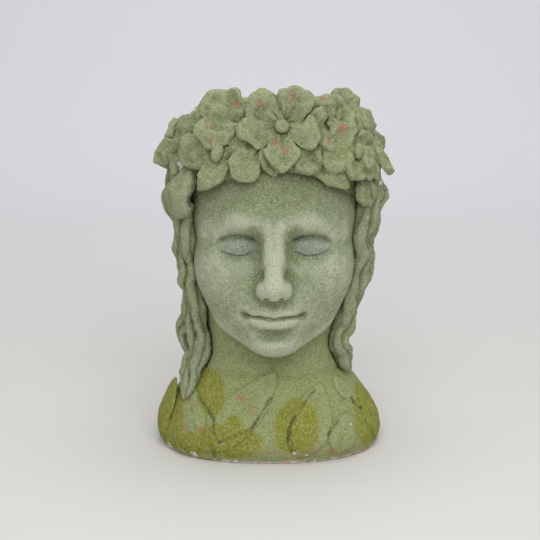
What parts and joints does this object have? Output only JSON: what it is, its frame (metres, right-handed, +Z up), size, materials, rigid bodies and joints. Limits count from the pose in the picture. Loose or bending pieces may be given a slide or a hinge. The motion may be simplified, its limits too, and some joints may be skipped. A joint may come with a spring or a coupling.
{
  "type": "statue planter",
  "caption": "Hollow clay head planter with closed eyes, long wavy hair and a crown of flowers and leaves, open at the top, on a flared leafy base with a drain hole.",
  "frame": {"origin": "middle of the object's box, on the plane that the foot stands on", "axes": "+Z up, the face looks along -Y, +X is the viewer's right when facing it"},
  "size_m": [0.2178, 0.2096, 0.3343],
  "materials": {
    "pot_paint": "matt sandy sage paint",
    "face_paint": "matt grey-green paint",
    "hair_paint": "matt sandy sage paint",
    "petal_paint": "matt sandy sage paint",
    "leaf_paint": "matt sandy sage paint",
    "moss_paint": "matt paint with moss flock"
  },
  "bodies": {
    "root": {"collar_leaf_back_left": "moss_paint", "collar_leaf_back_middle": "moss_paint", "collar_leaf_back_right": "moss_paint", "collar_leaf_front": "moss_paint", "collar_leaf_front_left": "moss_paint", "collar_leaf_front_right": "moss_paint", "collar_leaf_left": "moss_paint", "collar_leaf_right": "moss_paint", "collar_leaf_right_low": "moss_paint", "collar_leaf_right_top": "moss_paint", "crown_band": "leaf_paint", "face_mask": "face_paint", "flower_back_left": "petal_paint", "flower_back_left_button": "petal_paint", "flower_back_right": "petal_paint", "flower_back_right_button": "petal_paint", "flower_front": "petal_paint", "flower_front_button": "petal_paint", "flower_left": "petal_paint", "flower_left_button": "petal_paint", "flower_right": "petal_paint", "flower_right_button": "petal_paint", "flower_side_left": "petal_paint", "flower_side_left_button": "petal_paint", "flower_side_right": "petal_paint", "flower_side_right_button": "petal_paint", "head_wall": "pot_paint", "leaf_back_left": "leaf_paint", "leaf_back_middle": "leaf_paint", "leaf_back_right": "leaf_paint", "leaf_back_top": "leaf_paint", "leaf_brow_left": "leaf_paint", "leaf_brow_right_inner": "leaf_paint", "leaf_brow_right_low": "leaf_paint", "leaf_brow_right_outer": "leaf_paint", "leaf_left_mid": "leaf_paint", "leaf_left_side": "leaf_paint", "leaf_left_tip": "leaf_paint", "leaf_left_upper": "leaf_paint", "leaf_right_back": "leaf_paint", "leaf_right_low": "leaf_paint", "leaf_right_side": "leaf_paint", "leaf_right_tip": "leaf_paint", "leaf_temple_left": "leaf_paint", "leaf_top_right": "leaf_paint", "lock_back_1": "hair_paint", "lock_back_2": "hair_paint", "lock_back_3": "hair_paint", "lock_back_4": "hair_paint", "lock_back_5": "hair_paint", "lock_back_6": "hair_paint", "lock_left_curl": "hair_paint", "lock_left_front": "hair_paint", "lock_left_side": "hair_paint", "lock_right_curl": "hair_paint", "lock_right_front": "hair_paint", "lock_right_side": "hair_paint", "loose_bud": "petal_paint", "pot_floor": "pot_paint", "shoulder_base": "moss_paint"}
  },
  "joints": []
}
